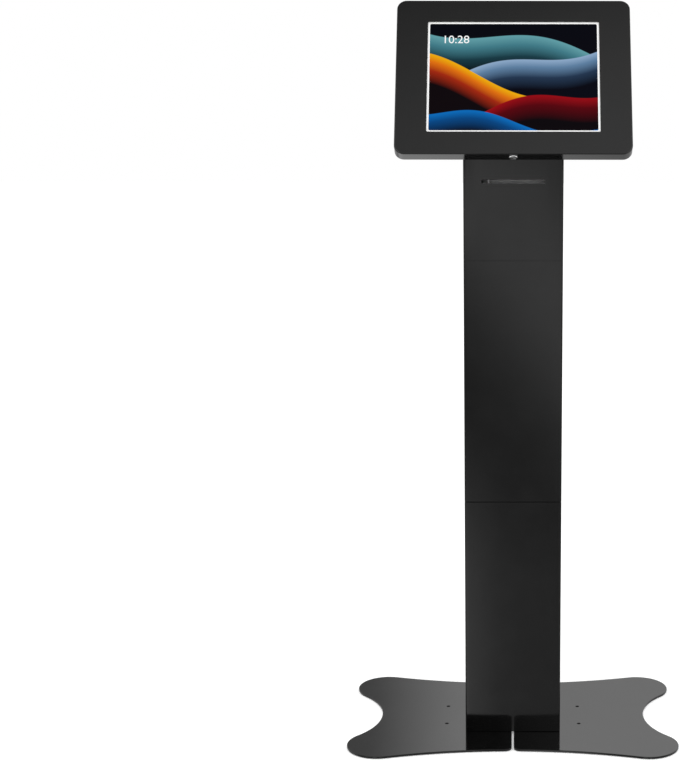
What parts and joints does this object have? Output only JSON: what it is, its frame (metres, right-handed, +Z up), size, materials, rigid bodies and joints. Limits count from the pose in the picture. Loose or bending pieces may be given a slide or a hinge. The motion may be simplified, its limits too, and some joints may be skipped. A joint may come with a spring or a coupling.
{
  "type": "tablet kiosk stand",
  "caption": "Floor-standing tablet kiosk with a slanted locking enclosure, a sectioned steel column with keyed rear doors and a split base with lobed corners.",
  "frame": {"origin": "middle of the footprint at floor level", "axes": "+Z up, front and screen towards -Y, +X to the right as seen from the front"},
  "size_m": [0.478, 0.308, 1.0517],
  "materials": {
    "black_paint": "smooth gloss black",
    "bright_chrome": "polished",
    "zinc_steel": "zinc plated",
    "black_rubber": "matt",
    "tablet_metal": "satin",
    "white_bezel": "gloss",
    "grey_plastic": "satin",
    "screen": "gloss, lit"
  },
  "bodies": {
    "stand": {"base_plate_left": "black_paint", "base_plate_right": "black_paint", "base_pads": "black_rubber", "foot_plate": "zinc_steel", "foot_bolts": "zinc_steel", "foot_nuts": "zinc_steel", "lower_column": "black_paint", "middle_column": "black_paint", "upper_column": "black_paint", "seam_bolts": "zinc_steel", "seam_nuts": "zinc_steel", "head_cap": "black_paint", "head_grommet": "black_rubber", "slot_guide": "grey_plastic", "guide_screws": "zinc_steel", "lower_hinge_pins": "zinc_steel", "middle_hinge_pins": "zinc_steel", "upper_hinge_pins": "zinc_steel", "enclosure_tray": "black_paint", "tray_bolts": "zinc_steel", "tray_nuts": "zinc_steel", "cover_hinge_rod": "zinc_steel", "corner_holders": "black_rubber", "tablet_shell": "tablet_metal", "tablet_bezel": "white_bezel", "tablet_display": "screen"},
    "lower_door_leaf": {"lower_door": "black_paint", "lower_lock_body": "bright_chrome", "lower_lock_nut": "zinc_steel", "outlet_grommet": "black_rubber"},
    "lower_lock": {"lower_lock_plug": "bright_chrome", "lower_lock_cam": "zinc_steel"},
    "middle_door_leaf": {"middle_door": "black_paint", "middle_lock_body": "bright_chrome", "middle_lock_nut": "zinc_steel"},
    "middle_lock": {"middle_lock_plug": "bright_chrome", "middle_lock_cam": "zinc_steel"},
    "upper_door_leaf": {"upper_door": "black_paint", "upper_lock_body": "bright_chrome", "upper_lock_nut": "zinc_steel"},
    "upper_lock": {"upper_lock_plug": "bright_chrome", "upper_lock_cam": "zinc_steel"},
    "cover": {"enclosure_cover": "black_paint", "cover_lock_body": "bright_chrome"},
    "cover_lock": {"cover_lock_plug": "bright_chrome", "cover_lock_cam": "zinc_steel"},
    "power_key": {"tablet_power_button": "tablet_metal"},
    "volume_up_key": {"tablet_volume_up": "tablet_metal"},
    "volume_down_key": {"tablet_volume_down": "tablet_metal"}
  },
  "joints": [
    {"name": "lower_door_hinge", "type": "hinge", "parent": "stand", "child": "lower_door_leaf", "pos_m": [-0.062, 0.0608, 0.1785], "axis": [0, 0, 1], "range_deg": [0, 105]},
    {"name": "lower_lock_turn", "type": "hinge", "parent": "lower_door_leaf", "child": "lower_lock", "pos_m": [0.041, 0.064, 0.1785], "axis": [0, -1, 0], "range_deg": [0, 90]},
    {"name": "middle_door_hinge", "type": "hinge", "parent": "stand", "child": "middle_door_leaf", "pos_m": [-0.062, 0.0608, 0.52675], "axis": [0, 0, 1], "range_deg": [0, 105]},
    {"name": "middle_lock_turn", "type": "hinge", "parent": "middle_door_leaf", "child": "middle_lock", "pos_m": [0.041, 0.064, 0.52675], "axis": [0, -1, 0], "range_deg": [0, 90]},
    {"name": "upper_door_hinge", "type": "hinge", "parent": "stand", "child": "upper_door_leaf", "pos_m": [-0.062, 0.0618, 0.823], "axis": [0, 0, 1], "range_deg": [0, 105]},
    {"name": "upper_lock_turn", "type": "hinge", "parent": "upper_door_leaf", "child": "upper_lock", "pos_m": [0.041, 0.065, 0.823], "axis": [0, -1, 0], "range_deg": [0, 90]},
    {"name": "cover_hinge", "type": "hinge", "parent": "stand", "child": "cover", "pos_m": [0, 0.02695, 1.04061], "axis": [-1, 0, 0], "range_deg": [0, 75]},
    {"name": "cover_lock_turn", "type": "hinge", "parent": "cover", "child": "cover_lock", "pos_m": [0, -0.10086, 0.84755], "axis": [0, 0.5402, 0.8415], "range_deg": [0, 90]},
    {"name": "power_key_press", "type": "slide", "parent": "stand", "child": "power_key", "axis": [1, 0, 0], "range_m": [0, 0.0003], "stiffness_N_per_m": 400},
    {"name": "volume_up_key_press", "type": "slide", "parent": "stand", "child": "volume_up_key", "axis": [0, -0.5402, -0.8415], "range_m": [0, 0.0003], "stiffness_N_per_m": 400},
    {"name": "volume_down_key_press", "type": "slide", "parent": "stand", "child": "volume_down_key", "axis": [0, -0.5402, -0.8415], "range_m": [0, 0.0003], "stiffness_N_per_m": 400}
  ]
}
